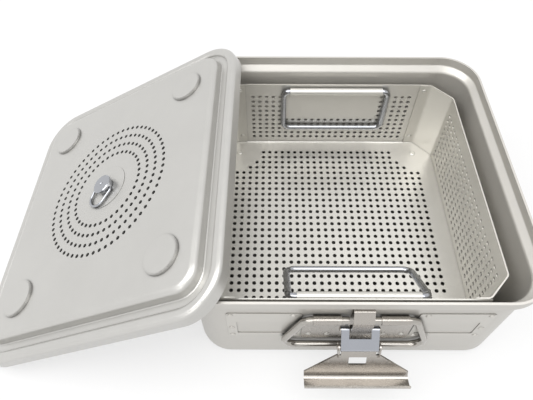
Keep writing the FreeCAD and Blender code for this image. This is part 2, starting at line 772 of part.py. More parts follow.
def make_spindle():
    body = new_body("knob_spindle", KNOB)
    post = size("spindle_width") / 2
    collar = size("knob_width") / 2 - 2
    cap = size("knob_width") / 2
    high = size("knob_height")
    low = -size("lid_sheet") - size("plate_depth") - size("plate_sheet") / 2 - 3
    rise = 0.4 + size("seat_gap")
    points = [(0, low), (post, low), (post, rise), (collar, rise), (collar, high - 3), (cap, high - 2.4), (cap, high - 0.6)]
    points += [(cap - 0.8, high), (1.8, high), (1.2, high - 0.8), (0, high - 0.8)]
    profile = new_sketch(body, "XZ_Plane", polygon(points))
    turned = body.newObject("PartDesign::Revolution", "knob_spindle_turned")
    turned.Profile = profile
    turned.ReferenceAxis = (profile, ["V_Axis"])
    turned.Angle = 360
    body.Tip = turned
    bar = rounded_rectangle(15, 3.6, 3.5)
    pad(body, new_sketch(body, "XY_Plane", bar, low), "2.2 mm")
    pin = [circle(0, 0, size("ring_wire") / 2 + size("run_gap"))]
    hole = [circle(0, RING_AXIS, size("ring_wire") / 2 + size("run_gap"))]
    pocket(body, new_sketch(body, "XZ_Plane", hole), "dims.knob_width * 2", symmetric=True)


RING_AXIS = size("knob_height") - 4.6


def make_knob_ring():
    drop = math.degrees(math.asin((RING_AXIS - size("ring_wire") / 2 - 0.9) / size("ring_reach")))
    place = KNOB.multiply(Placement(Vector(0, 0, RING_AXIS), Rotation(Vector(0, 1, 0), -drop)))
    body = new_body("knob_ring", place)
    half = size("knob_width") / 2 + size("ring_wire") / 2 + 0.6
    reach = size("ring_reach")
    end = size("knob_width") / 2 - 5.5
    tip = half * 0.72
    path = [(0, end), (0, half), (-reach, tip), (-reach, -tip), (0, -half), (0, -end)]
    spine = new_sketch(body, "XY_Plane", rounded(path, [0, 2.5, 9, 9, 2.5, 0])[0])
    profile = new_sketch(body, "XZ_Plane", [circle(0, 0, size("ring_wire") / 2)], -end)
    sweep(body, profile, spine)


# Build every piece
make_tub()
for name, side in SIDES.items():
    make_handle_hinge("handle_hinge_" + name, side)
    make_handle("handle_" + name, side)
    make_bracket("latch_bracket_" + name, side)
    make_link("latch_link_" + name, side)
    make_lever("latch_lever_" + name, side)
radius = size("rod_wire") / 2
rod = headed_pin(radius, size("link_half") + 0.3, radius + 0.8, 1.0)
make_pin("latch_rods", rod, [pivot_place(side) for side in SIDES.values()])
pin = headed_pin(radius, size("ear_inner") + size("ear_sheet"), radius + 0.8, 1.2)
for name, side in SIDES.items():
    make_pin("latch_pin_" + name, pin, [pivot_place(side, size("link_length"))])
make_label_frame("label_frame_left", -1)
make_label_frame("label_frame_right", 1)
make_tub_rivets()
make_basket_floor()
make_basket_side("basket_side_right", 0)
make_basket_side("basket_side_left", 180)
make_basket_rivets()
make_basket_feet()
for name, angle in (("front", size("front_bail_angle")), ("back", 0)):
    make_clip(name)
    make_bail(name, angle)
make_lid()
make_gasket()
make_filter()
make_retention_plate()
make_spindle()
make_knob_ring()
doc.recompute()

# Check and write
for feature in doc.Objects:
    bad = [word for word in feature.State if word in ("Invalid", "Error")]
    if bad:
        raise RuntimeError("%s is %s" % (feature.Label, bad))
for node in NODES:
    shape = node.Shape
    if shape.isNull() or not shape.isValid():
        raise RuntimeError(node.Label + " is not a valid solid")
    box = shape.BoundBox
    print("%-22s %2d solid %9.1f mm3  x %.1f..%.1f y %.1f..%.1f z %.1f..%.1f" % (
        node.Label, len(shape.Solids), shape.Volume, box.XMin, box.XMax, box.YMin, box.YMax, box.ZMin, box.ZMax))
    shape.exportStep("parts/%s.step" % node.Label)
print(len(NODES), "nodes")
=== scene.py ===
# %% [markdown]
# # An open sterilization container
#
# The object is a metal tub with a perforated instrument basket in it and its vented lid leaned against
# the left rim. The solid model comes in as a fixed frame: its pieces keep their places, and this lesson
# gives them their finishes, swaps a few of them for finer ones, and sets up the light and the camera.

import math

import bmesh
import bpy
from mathutils import Matrix, Vector


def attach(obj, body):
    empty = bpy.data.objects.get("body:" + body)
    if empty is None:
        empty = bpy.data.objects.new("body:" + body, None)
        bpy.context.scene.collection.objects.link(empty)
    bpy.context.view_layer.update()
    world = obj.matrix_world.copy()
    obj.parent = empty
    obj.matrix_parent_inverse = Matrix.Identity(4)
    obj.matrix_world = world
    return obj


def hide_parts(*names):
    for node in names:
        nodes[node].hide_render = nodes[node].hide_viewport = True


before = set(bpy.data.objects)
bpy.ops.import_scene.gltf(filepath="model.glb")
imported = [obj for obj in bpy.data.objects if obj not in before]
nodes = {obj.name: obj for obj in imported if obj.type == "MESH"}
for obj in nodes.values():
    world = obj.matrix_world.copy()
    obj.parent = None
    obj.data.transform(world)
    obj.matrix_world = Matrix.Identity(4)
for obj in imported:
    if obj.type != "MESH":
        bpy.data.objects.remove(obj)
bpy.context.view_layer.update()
MM = 0.001

# %% [markdown]
# Every new piece is made in the same few moves: a bmesh is shaped with operators, turned into a mesh,
# linked to the scene and set to ride on the body that carries it. One helper does the last part, so that
# each cell below only has to say what the piece is.


# %% From bmesh to a riding piece
WELD = 0.02 * MM


def add_piece(bm, name, body, crease=35):
    """Weld, shade and link a bmesh, with edges sharper than the crease angle kept sharp."""
    bmesh.ops.remove_doubles(bm, verts=bm.verts, dist=WELD)
    bmesh.ops.recalc_face_normals(bm, faces=bm.faces)
    for face in bm.faces:
        face.smooth = True
    for edge in bm.edges:
        edge.smooth = not edge.is_boundary and edge.calc_face_angle(0) < math.radians(crease)
    mesh = bpy.data.meshes.new(name)
    bm.to_mesh(mesh)
    bm.free()
    piece = bpy.data.objects.new(name, mesh)
    bpy.context.scene.collection.objects.link(piece)
    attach(piece, body)
    return piece


print("helper ready")

# %% [markdown]
# ## Perforated sheet
#
# The basket is folded from steel sheet with rows of punched holes, 4.2 mm wide and 7.7 mm apart. A
# boolean with 1600 cylinders would be slow and leave ragged faces. A grid with one face per hole is
# cleaner: each face is inset, its middle is taken out, the edge of the gap is divided, and its points are
# drawn onto a circle.

# %% Punch holes in a grid
PITCH = 7.7 * MM
HOLE = 2.1 * MM
CLOSE = 0.01 * MM


def punched_grid(columns, rows, wanted):
    """A flat grid round the origin, with a round hole of radius HOLE in each cell that is wanted."""
    bm = bmesh.new()
    bmesh.ops.create_grid(bm, x_segments=columns, y_segments=rows, size=0.5)
    bmesh.ops.scale(bm, vec=(columns * PITCH, rows * PITCH, 1), verts=bm.verts)
    cells = []
    for face in bm.faces:
        centre = face.calc_center_median()
        column = round(centre.x / PITCH + (columns - 1) / 2)
        row = round(centre.y / PITCH + (rows - 1) / 2)
        if wanted(column, row):
            cells.append(face)
    bmesh.ops.inset_individual(bm, faces=cells, thickness=PITCH / 2 - HOLE, use_even_offset=True)
    centres = [face.calc_center_median() for face in cells]
    rims = [edge for face in cells for edge in face.edges]
    bmesh.ops.delete(bm, geom=cells, context="FACES_ONLY")
    bmesh.ops.subdivide_edges(bm, edges=rims, cuts=2)
    reach = HOLE * 1.5
    places = {(round(c.x / PITCH * 2), round(c.y / PITCH * 2)): c for c in centres}
    for vert in bm.verts:
        key = None
        for dx in (0, -1, 1):
            for dy in (0, -1, 1):
                trial = (round(vert.co.x / PITCH * 2) + dx, round(vert.co.y / PITCH * 2) + dy)
                if trial in places and (places[trial] - vert.co).length < reach:
                    key = trial
        if key:
            out = (vert.co - places[key]).normalized()
            vert.co = places[key] + out * HOLE
    return bm, len(cells)


def edge_at(bm, axis, value):
    """Boundary edges whose both ends lie at one value along an axis."""
    found = []
    for edge in bm.edges:
        flat = all(abs(vert.co[axis] - value) < CLOSE for vert in edge.verts)
        if flat and edge.is_boundary:
            found.append(edge)
    return found


def pull(bm, edges, move):
    """Extrude edges and move the new ones."""
    made = bmesh.ops.extrude_edge_only(bm, edges=edges)["geom"]
    verts = [item for item in made if isinstance(item, bmesh.types.BMVert)]
    bmesh.ops.translate(bm, vec=Vector(move), verts=verts)
    return [item for item in made if isinstance(item, bmesh.types.BMEdge)]


print("hole", HOLE, "pitch", PITCH)

# %% [markdown]
# The floor is one sheet with its four corners cut off, and its front and back edges roll up into the
# walls. The holes keep clear of the corners, so the outermost rows are shorter than the rest.

# %% Basket floor
SHIFT = -4.8 * MM
FLOOR = 9.0 * MM
SHEET = 1.2 * MM
HALF_X = 128.3 * MM
HALF_Y = 121.2 * MM
CHAMFER = 19.5 * MM
HIGH = 98.8 * MM
FOLD = 3.0 * MM
FLOOR_COLUMNS = 29
FLOOR_ROWS = 28
LEFT_OUT = {0: 4, 1: 4, 2: 3, 3: 2}


def floor_hole(column, row):
    from_edge = min(row, FLOOR_ROWS - 1 - row)
    short = LEFT_OUT.get(from_edge, 0)
    return short <= column <= FLOOR_COLUMNS - 1 - short


sheet, count = punched_grid(FLOOR_COLUMNS, FLOOR_ROWS, floor_hole)
half_u = FLOOR_COLUMNS / 2 * PITCH
half_v = FLOOR_ROWS / 2 * PITCH
for side in (-1, 1):
    pull(sheet, edge_at(sheet, 0, side * half_u), (side * (HALF_X - half_u), 0, 0))
bend_y = HALF_Y + SHEET / 2 - FOLD
for side in (-1, 1):
    pull(sheet, edge_at(sheet, 1, side * half_v), (0, side * (bend_y - half_v), 0))
for sx in (-1, 1):
    for sy in (-1, 1):
        corner = Vector((sx * (HALF_X - CHAMFER), sy * HALF_Y, 0))
        normal = Vector((sx, sy, 0)).normalized()
        everything = sheet.verts[:] + sheet.edges[:] + sheet.faces[:]
        bmesh.ops.bisect_plane(sheet, geom=everything, plane_co=corner, plane_no=normal, clear_outer=True)
for side in (-1, 1):
    rim = edge_at(sheet, 1, side * bend_y)
    lift = Vector((0, side * bend_y, FOLD))
    bmesh.ops.spin(sheet, geom=rim, cent=lift, axis=(side, 0, 0), angle=math.radians(90), steps=4)
bmesh.ops.translate(sheet, vec=(SHIFT, 0, FLOOR - SHEET / 2), verts=sheet.verts)
print("floor with", count, "holes")

# %% [markdown]
# The two long walls stand on the rolled edges. Their upper middle part is plain, because the bails and
# their clips are riveted there, so only five columns of holes at each end go all the way up.


# %% Basket walls
WALL_COLUMNS = 24
WALL_ROWS = 10
FULL_ROWS = 5
END_COLUMNS = 5
FIRST_ROW = 10.2 * MM
PAST_FOLD = 1.5 * MM


def wall_hole(column, row):
    at_end = min(column, WALL_COLUMNS - 1 - column) < END_COLUMNS
    return row < FULL_ROWS or at_end


wall_bottom = FOLD - SHEET / 2
wall_end = HALF_X - CHAMFER + PAST_FOLD
hole_low = FIRST_ROW - PITCH / 2
hole_high = hole_low + WALL_ROWS * PITCH
hole_middle = (hole_low + hole_high) / 2
grid_end = WALL_COLUMNS / 2 * PITCH
stand_up = Matrix.Rotation(math.radians(90), 3, "X")
walls = []
for side in (-1, 1):
    wall, count = punched_grid(WALL_COLUMNS, WALL_ROWS, wall_hole)
    bmesh.ops.translate(wall, vec=(0, hole_middle, 0), verts=wall.verts)
    for end in (-1, 1):
        pull(wall, edge_at(wall, 0, end * grid_end), (end * (wall_end - grid_end), 0, 0))
    pull(wall, edge_at(wall, 1, hole_low), (0, wall_bottom - hole_low, 0))
    pull(wall, edge_at(wall, 1, hole_high), (0, HIGH - hole_high, 0))
    bmesh.ops.rotate(wall, cent=(0, 0, 0), matrix=stand_up, verts=wall.verts)
    bmesh.ops.translate(wall, vec=(SHIFT, side * (HALF_Y + SHEET / 2), FLOOR), verts=wall.verts)
    walls.append(wall)
for wall in walls:
    mesh = bpy.data.meshes.new("wall_part")
    wall.to_mesh(mesh)
    wall.free()
    sheet.from_mesh(mesh)
    bpy.data.meshes.remove(mesh)
basket_floor = add_piece(sheet, "perforated_floor", "basket")
print("two walls with", count, "holes each")


# %% [markdown]
# A side panel turns round both corners with a bevelled fold and ends in two riveted tabs. It is pulled
# out of one punched grid, edge by edge, and the fold lines are then rounded with a bevel.


# %% Basket sides
SIDE_COLUMNS = 25
TAB = 12.5 * MM
FOLD_ROUND = 2.2 * MM


def side_panel(name, turn):
    panel, holes = punched_grid(SIDE_COLUMNS, WALL_ROWS, lambda column, row: True)
    bmesh.ops.translate(panel, vec=(0, hole_middle, 0), verts=panel.verts)
    pull(panel, edge_at(panel, 1, hole_low), (0, -hole_low, 0))
    pull(panel, edge_at(panel, 1, hole_high), (0, HIGH - hole_high, 0))
    flat = HALF_Y - SHEET / 2 - CHAMFER
    half = SIDE_COLUMNS / 2 * PITCH
    folds = []
    for end in (-1, 1):
        pull(panel, edge_at(panel, 0, end * half), (end * (flat - half), 0, 0))
        first = edge_at(panel, 0, end * flat)
        second = pull(panel, first, (end * CHAMFER, 0, CHAMFER))
        pull(panel, second, (0, 0, TAB))
        folds += [edge for edge in first + second if edge.is_valid]
    bmesh.ops.bevel(
        panel, geom=folds, offset=FOLD_ROUND, offset_type="OFFSET", segments=3, profile=0.5,
        affect="EDGES", material=-1,
    )
    upright = Matrix(((0, 0, -1), (1, 0, 0), (0, 1, 0)))
    bmesh.ops.rotate(panel, cent=(0, 0, 0), matrix=upright, verts=panel.verts)
    bmesh.ops.translate(panel, vec=(HALF_X + SHEET / 2, 0, 0), verts=panel.verts)
    to_its_end = Matrix.Rotation(turn, 3, "Z")
    bmesh.ops.rotate(panel, cent=(0, 0, 0), matrix=to_its_end, verts=panel.verts)
    bmesh.ops.translate(panel, vec=(SHIFT, 0, FLOOR), verts=panel.verts)
    return add_piece(panel, name, "basket"), holes


side_right, count = side_panel("perforated_side_right", 0)
side_left, count = side_panel("perforated_side_left", math.pi)
for piece in (basket_floor, side_right, side_left):
    thick = piece.modifiers.new("sheet", "SOLIDIFY")
    thick.thickness = SHEET
    thick.offset = 0
    thick.use_even_offset = True
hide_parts("basket_floor")
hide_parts("basket_side_right")
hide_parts("basket_side_left")
print("each side has", count, "holes")

# %% [markdown]
# ## Rivets
#
# Solid rivets hold the frames, hinges and tabs. The model has plain buttons there. A real rivet head is a
# low dome, so one half outline is spun round and a copy is set at each place.


# %% Domed rivets
HEAD_RADIUS = 2.5 * MM
HEAD_RISE = 1.1 * MM
HEAD_OUTLINE = [(0.0, 1.0), (0.45, 0.9), (0.8, 0.6), (1.0, 0.15), (1.0, -0.15)]


def dome(bm, place, out):
    """One rivet head at a place, looking along out. The outline is in shares of radius and rise."""
    start = len(bm.verts)
    points = [bm.verts.new((HEAD_RADIUS * x, 0, HEAD_RISE * z)) for x, z in HEAD_OUTLINE]
    edges = [bm.edges.new(pair) for pair in zip(points, points[1:])]
    bmesh.ops.spin(
        bm, geom=points + edges, cent=(0, 0, 0), axis=(0, 0, 1), angle=math.tau, steps=16, use_merge=True)
    bm.verts.ensure_lookup_table()
    fresh = bm.verts[start:]
    turn = Vector((0, 0, 1)).rotation_difference(Vector(out)).to_matrix()
    bmesh.ops.rotate(bm, cent=(0, 0, 0), matrix=turn, verts=fresh)
    bmesh.ops.translate(bm, vec=Vector(place), verts=fresh)


def rivet_set(name, body, spots):
    bm = bmesh.new()
    for place, out in spots:
        dome(bm, place, out)
    piece = add_piece(bm, name, body, crease=50)
    print(name, len(spots))
    return piece


# %% Rivets of the tub
TUB_WALL = 131.0
LEAF, STRAP, FRAME = 0.9, 1.2, 0.6
LEAF_RIVETS = [(x, 57) for x in (-40, -24, 24, 40)]
STRAP_RIVETS = [(x, 75.9) for x in (-4.5, 4.5)]
FRAME_RIVETS = [(51.5, 53), (54.5, 97.5), (105.5, 53), (105.5, 70), (105.5, 97.5)]


def on_wall(x, y, z, facing):
    """A place in millimetres and the way its rivet looks along Y."""
    return (x * MM, y * MM, z * MM), (0, facing, 0)


hinge_spots = []
for sign in (-1, 1):
    hinge_spots += [on_wall(x, sign * (TUB_WALL + LEAF), z, sign) for x, z in LEAF_RIVETS]
    hinge_spots += [on_wall(x, sign * (TUB_WALL + STRAP), z, sign) for x, z in STRAP_RIVETS]
hinge_rivets = rivet_set("hinge_rivet_heads", "tub", hinge_spots)
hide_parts("hinge_rivets")
frame_spots = []
for sign in (-1, 1):
    frame_spots += [on_wall(sign * x, -(TUB_WALL + FRAME), z, -1) for x, z in FRAME_RIVETS]
frame_rivets = rivet_set("label_rivet_heads", "tub", frame_spots)
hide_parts("label_rivets")

# %% Rivets of the basket
TAB_SEAT, CLIP_SEAT = 120.0, 120.2
tab_middle = (HALF_X - CHAMFER - TAB / 2) / MM
middle, ground_up = SHIFT / MM, FLOOR / MM
CLIP_MIDDLE = 4.3
CLIP_RIVETS = (-44.88, 0, 44.88)
TAB_HEIGHTS = (13, 90.8)
CLIP_HEIGHT = 85.5
basket_spots = []
for sign in (-1, 1):
    for x in (-tab_middle, tab_middle):
        for z in TAB_HEIGHTS:
            basket_spots.append(on_wall(middle + x, sign * TAB_SEAT, ground_up + z, -sign))
    for x in CLIP_RIVETS:
        x_place = middle + CLIP_MIDDLE + x
        basket_spots.append(on_wall(x_place, sign * CLIP_SEAT, ground_up + CLIP_HEIGHT, -sign))
basket_rivets = rivet_set("basket_rivet_heads", "basket", basket_spots)
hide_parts("basket_rivets")

# %% [markdown]
# ## Finishes
#
# The metals share two effects: a grain, which is noise drawn out along one direction, and a soft
# unevenness of tone, as handling and washing leave on satin metal. Each is a node group, built once, and
# the materials place it with their own values.


# %% Shared effects
def new_group(name, inputs, outputs):
    tree = bpy.data.node_groups.new(name, "ShaderNodeTree")
    for label, kind, value in inputs:
        socket = tree.interface.new_socket(label, in_out="INPUT", socket_type=kind)
        if value is not None:
            socket.default_value = value
    for label, kind in outputs:
        tree.interface.new_socket(label, in_out="OUTPUT", socket_type=kind)
    return tree, tree.nodes.new("NodeGroupInput"), tree.nodes.new("NodeGroupOutput")


def math_node(tree, operation, a, b, clamp=False):
    node = tree.nodes.new("ShaderNodeMath")
    node.operation = operation
    node.use_clamp = clamp
    for index, value in enumerate((a, b)):
        if isinstance(value, (int, float)):
            node.inputs[index].default_value = value
        else:
            tree.links.new(value, node.inputs[index])
    return node.outputs[0]


def noise_node(tree, vector, scale, detail, roughness=0.55):
    node = tree.nodes.new("ShaderNodeTexNoise")
    node.inputs["Detail"].default_value = detail
    node.inputs["Roughness"].default_value = roughness
    if isinstance(scale, (int, float)):
        node.inputs["Scale"].default_value = scale
    else:
        tree.links.new(scale, node.inputs["Scale"])
    tree.links.new(vector, node.inputs["Vector"])
    return node.outputs["Fac"]


# Grain: fine noise, already stretched by the vector it is given
grain, g_in, g_out = new_group(
    "Metal_Grain",
    [("Vector", "NodeSocketVector", None), ("Scale", "NodeSocketFloat", 400.0)],
    [("Height", "NodeSocketFloat")],
)
fine = noise_node(grain, g_in.outputs["Vector"], g_in.outputs["Scale"], 3.0, 0.7)
grain.links.new(fine, g_out.inputs["Height"])

# Tone: slow clouds plus smaller smears, as a factor round 1
tone, t_in, t_out = new_group(
    "Uneven_Tone",
    [("Vector", "NodeSocketVector", None), ("Amount", "NodeSocketFloat", 0.06)],
    [("Factor", "NodeSocketFloat"), ("Smear", "NodeSocketFloat")],
)
slow = noise_node(tone, t_in.outputs["Vector"], 14.0, 3.0)
small = noise_node(tone, t_in.outputs["Vector"], 90.0, 2.0)
slow_share = math_node(tone, "MULTIPLY", slow, 0.7)
blend = math_node(tone, "ADD", slow_share, math_node(tone, "MULTIPLY", small, 0.3))
centred = math_node(tone, "SUBTRACT", blend, 0.5)
swing = math_node(tone, "MULTIPLY", centred, math_node(tone, "MULTIPLY", t_in.outputs["Amount"], 4.0))
tone.links.new(math_node(tone, "ADD", swing, 1.0), t_out.inputs["Factor"])
tone.links.new(small, t_out.inputs["Smear"])
print("groups:", [tree.name for tree in bpy.data.node_groups])

# %% [markdown]
# A metal here is the Principled shader. Its base colour is the reflection's tint, so it sets how light
# the metal looks in white surroundings. Roughness blurs what it mirrors: high for the satin tub, low for
# the polished bails. Anodised and blasted sheet scatters part of the light like paint, so it gets a
# metalness below 1. The grain drives a very weak bump, the unevenness changes tone and roughness, and an
# ambient occlusion node paints shade into the base colour: it darkens the bottoms of grooves and the
# corners under the frames.


# %% Metal maker
SHADE_REACH = 4 * MM
GRAIN_HEIGHT = 0.2 * MM
OPEN, CLOSED = 0.85, 0.3


def metal(name, colour, roughness, stretch=(1, 1, 1), grain_scale=500.0, grain_depth=0.08,
          tone_amount=0.05, rough_swing=0.08, metallic=1.0, painted_cavity_shade=0.35):
    material = bpy.data.materials.new(name)
    material.use_nodes = True
    tree = material.node_tree
    shader = tree.nodes["Principled BSDF"]
    shader.inputs["Metallic"].default_value = metallic
    place = tree.nodes.new("ShaderNodeTexCoord")
    mapping = tree.nodes.new("ShaderNodeMapping")
    mapping.inputs["Scale"].default_value = stretch
    tree.links.new(place.outputs["Object"], mapping.inputs["Vector"])
    grain_node = tree.nodes.new("ShaderNodeGroup")
    grain_node.node_tree = grain
    grain_node.inputs["Scale"].default_value = grain_scale
    tree.links.new(mapping.outputs["Vector"], grain_node.inputs["Vector"])
    tone_node = tree.nodes.new("ShaderNodeGroup")
    tone_node.node_tree = tone
    tone_node.inputs["Amount"].default_value = tone_amount
    tree.links.new(place.outputs["Object"], tone_node.inputs["Vector"])
    tint = tree.nodes.new("ShaderNodeVectorMath")
    tint.operation = "SCALE"
    tint.inputs[0].default_value = colour
    # Painted shade: ambient occlusion darkens the base colour in grooves, recesses and corners
    cavity_shade_ao = tree.nodes.new("ShaderNodeAmbientOcclusion")
    cavity_shade_ao.samples = 6
    cavity_shade_ao.inputs["Distance"].default_value = SHADE_REACH
    shade = tree.nodes.new("ShaderNodeMapRange")
    shade.inputs["From Min"].default_value = CLOSED
    shade.inputs["From Max"].default_value = OPEN
    shade.inputs["To Min"].default_value = 1 - painted_cavity_shade
    shade.inputs["To Max"].default_value = 1.0
    tree.links.new(cavity_shade_ao.outputs["AO"], shade.inputs["Value"])
    strength = math_node(tree, "MULTIPLY", tone_node.outputs["Factor"], shade.outputs["Result"])
    tree.links.new(strength, tint.inputs["Scale"])
    tree.links.new(tint.outputs[0], shader.inputs["Base Color"])
    streak = math_node(tree, "SUBTRACT", grain_node.outputs["Height"], 0.5)
    uneven = math_node(tree, "MULTIPLY", streak, rough_swing)
    off_middle = math_node(tree, "SUBTRACT", tone_node.outputs["Smear"], 0.5)
    smear = math_node(tree, "MULTIPLY", off_middle, rough_swing)
    rough = math_node(tree, "ADD", math_node(tree, "ADD", uneven, smear), roughness, clamp=True)
    tree.links.new(rough, shader.inputs["Roughness"])
    bump = tree.nodes.new("ShaderNodeBump")
    bump.inputs["Strength"].default_value = grain_depth
    bump.inputs["Distance"].default_value = GRAIN_HEIGHT
    tree.links.new(grain_node.outputs["Height"], bump.inputs["Height"])
    tree.links.new(bump.outputs["Normal"], shader.inputs["Normal"])
    return material


satin = metal(
    "satin_aluminium", (0.62, 0.60, 0.56), 0.36, grain_scale=900.0,
    tone_amount=0.03, metallic=0.5, painted_cavity_shade=0.6,
)
lid_satin = metal(
    "satin_lid", (0.56, 0.552, 0.53), 0.33, grain_scale=900.0,
    tone_amount=0.03, metallic=0.75, painted_cavity_shade=0.8,
)
trim = metal("trim_aluminium_satin", (0.62, 0.60, 0.56), 0.34, grain_scale=700.0, metallic=0.6, painted_cavity_shade=0.85)
plate = metal("inner_plate", (0.50, 0.49, 0.47), 0.45, grain_scale=700.0)
basket_metal = metal(
    "basket_brushed", (0.66, 0.645, 0.605), 0.32, (0.25, 1, 1), 900.0, 0.12, 0.03, metallic=0.6)
basket_side_metal = metal(
    "basket_side_brushed", (0.66, 0.643, 0.595), 0.32, (1, 1, 0.2), 900.0, 0.12, 0.03, metallic=0.6)
hardware = metal("brushed_hardware", (0.42, 0.395, 0.365), 0.26, (1, 1, 0.15), 900.0, 0.08, 0.06, 0.12)
lever_metal = metal("brushed_lever", (0.43, 0.405, 0.375), 0.26, (0.12, 1, 1), 900.0, 0.1, 0.07, 0.14)
link_metal = metal("cold_rolled_link", (0.40, 0.415, 0.45), 0.22, (1, 1, 0.2), 700.0, 0.1, 0.04)
wire_metal = metal("polished_wire", (0.42, 0.43, 0.455), 0.14, (1, 1, 1), 900.0, 0.01, 0.05, 0.06)
handle_metal = metal("drawn_handle_wire", (0.42, 0.40, 0.37), 0.20, (1, 1, 1), 900.0, 0.02, 0.06, 0.08)
print("metals:", [m.name for m in bpy.data.materials])

# %% [markdown]
# The floor of the tub and the lower part of its inner walls get painted shade: a near-black colour is
# mixed into the tub's own material by a mask that is 1 on the floor and fades up the walls. Only
# surfaces that look up or towards the tub's middle get it, so the outside keeps its tone.

# %% Painted shade at the bottom of the tub
PAINTED_SHADE_TOP = 90 * MM
PAINTED_SHADE_FULL = 6 * MM
PAINTED_SHADE_COLOUR = (0.08, 0.077, 0.07, 1)
ON_WALLS = 0.75
JUST_TURNED = 0.02
tree = satin.node_tree
shader = tree.nodes["Principled BSDF"]
unshaded_colour = shader.inputs["Base Color"].links[0].from_socket
here = tree.nodes.new("ShaderNodeTexCoord")
parts = tree.nodes.new("ShaderNodeSeparateXYZ")
tree.links.new(here.outputs["Object"], parts.inputs["Vector"])
low = tree.nodes.new("ShaderNodeMapRange")
low.interpolation_type = "SMOOTHSTEP"
low.inputs["From Min"].default_value = PAINTED_SHADE_TOP
low.inputs["From Max"].default_value = PAINTED_SHADE_FULL
tree.links.new(parts.outputs["Z"], low.inputs["Value"])
facing = tree.nodes.new("ShaderNodeSeparateXYZ")
geometry = tree.nodes.new("ShaderNodeNewGeometry")
tree.links.new(geometry.outputs["Normal"], facing.inputs["Vector"])
upward = math_node(tree, "GREATER_THAN", facing.outputs["Z"], JUST_TURNED)
inward = tree.nodes.new("ShaderNodeVectorMath")
inward.operation = "DOT_PRODUCT"
tree.links.new(geometry.outputs["Normal"], inward.inputs[0])
tree.links.new(here.outputs["Object"], inward.inputs[1])
turned_in = math_node(tree, "LESS_THAN", inward.outputs["Value"], -JUST_TURNED)
inside = math_node(tree, "MAXIMUM", upward, math_node(tree, "MULTIPLY", turned_in, ON_WALLS))
# Painted shade: the near-black colour is mixed into the base colour where the mask is high
painted_shade_mix = tree.nodes.new("ShaderNodeMix")
painted_shade_mix.data_type = "RGBA"
tree.links.new(math_node(tree, "MULTIPLY", low.outputs["Result"], inside), painted_shade_mix.inputs["Factor"])
tree.links.new(unshaded_colour, painted_shade_mix.inputs["A"])
painted_shade_mix.inputs["B"].default_value = PAINTED_SHADE_COLOUR
tree.links.new(painted_shade_mix.outputs["Result"], shader.inputs["Base Color"])
print("stain on", satin.name)

# %% [markdown]
# The gasket is silicone rubber and the filter is a sheet of pressed paper. Neither is a metal, so both
# get their own short trees: fine mottling for the rubber, crossing fibres for the paper. The paper's
# near-black colour is painted shade, seen through the lid's vents.


# %% Rubber and paper
SPECK_HEIGHT = 0.3 * MM


def soft_finish(name, colour, dark, roughness, scale, stretch, depth):
    material = bpy.data.materials.new(name)
    material.use_nodes = True
    tree = material.node_tree
    shader = tree.nodes["Principled BSDF"]
    shader.inputs["Roughness"].default_value = roughness
    place = tree.nodes.new("ShaderNodeTexCoord")
    mapping = tree.nodes.new("ShaderNodeMapping")
    mapping.inputs["Scale"].default_value = stretch
    tree.links.new(place.outputs["Object"], mapping.inputs["Vector"])
    speck = noise_node(tree, mapping.outputs["Vector"], scale, 4.0, 0.7)
    mix = tree.nodes.new("ShaderNodeMix")
    mix.data_type = "RGBA"
    mix.inputs["A"].default_value = (*dark, 1)
    mix.inputs["B"].default_value = (*colour, 1)
    tree.links.new(speck, mix.inputs["Factor"])
    tree.links.new(mix.outputs["Result"], shader.inputs["Base Color"])
    bump = tree.nodes.new("ShaderNodeBump")
    bump.inputs["Strength"].default_value = depth
    bump.inputs["Distance"].default_value = SPECK_HEIGHT
    tree.links.new(speck, bump.inputs["Height"])
    tree.links.new(bump.outputs["Normal"], shader.inputs["Normal"])
    return material


silicone = soft_finish("grey_silicone", (0.33, 0.34, 0.35), (0.24, 0.25, 0.26), 0.55, 300.0, (1, 1, 1), 0.15)
# Painted shade: the paper is near black so that the vents over it look dark
paper = soft_finish(
    "filter_fibres_painted_shade", (0.075, 0.075, 0.08), (0.04, 0.04, 0.045), 0.9, 500.0, (0.3, 1.6, 1), 0.4,
)
print("soft finishes:", silicone.name, paper.name)

# %% [markdown]
# Which piece is of which metal is a matter of how it is made: drawn sheet is blasted and anodised, bent
# wire is polished, rolled and cut plate keeps its grain. A table by material is easier to read than a
# line per piece.

# %% Give every piece its finish
finishes = {
    satin: ["tub_shell"],
    lid_satin: ["lid_shell"],
    trim: ["label_frame_left", "label_frame_right"],
    plate: ["retention_plate"],
    hardware: [
        "handle_hinge_front", "handle_hinge_back", "latch_bracket_front", "latch_bracket_back",
        "latch_rods", "latch_pin_front", "latch_pin_back",
    ],
    lever_metal: ["latch_lever_front", "latch_lever_back"],
    link_metal: ["latch_link_front", "latch_link_back"],
    handle_metal: ["handle_front", "handle_back"],
    wire_metal: ["bail_front", "bail_back", "knob_ring", "knob_spindle"],
    basket_metal: ["bail_clip_front", "bail_clip_back", "basket_feet"],
    silicone: ["lid_gasket"],
    paper: ["filter_disc"],
}
for material, names in finishes.items():
    for name in names:
        piece = nodes[name]
        piece.data.materials.clear()
        piece.data.materials.append(material)
for piece, material in (
    (basket_floor, basket_metal), (side_left, basket_side_metal), (side_right, basket_side_metal),
    (hinge_rivets, trim), (frame_rivets, trim), (basket_rivets, basket_metal),
):
    piece.data.materials.append(material)
given = sum(len(names) for names in finishes.values())
print("finished", given, "model pieces; left bare:", [n for n in nodes if not nodes[n].data.materials])

# %% [markdown]
# ## Light, floor and camera
#
# The container stands on a white ground in soft studio light. What the camera and the mirrors see of the
# ground and the sky is plain white, while the light that they send onto the object stays low, so that
# pale metal keeps its shades. Large soft lamps from above and the left give the bright ledges and the
# gentle shadows.


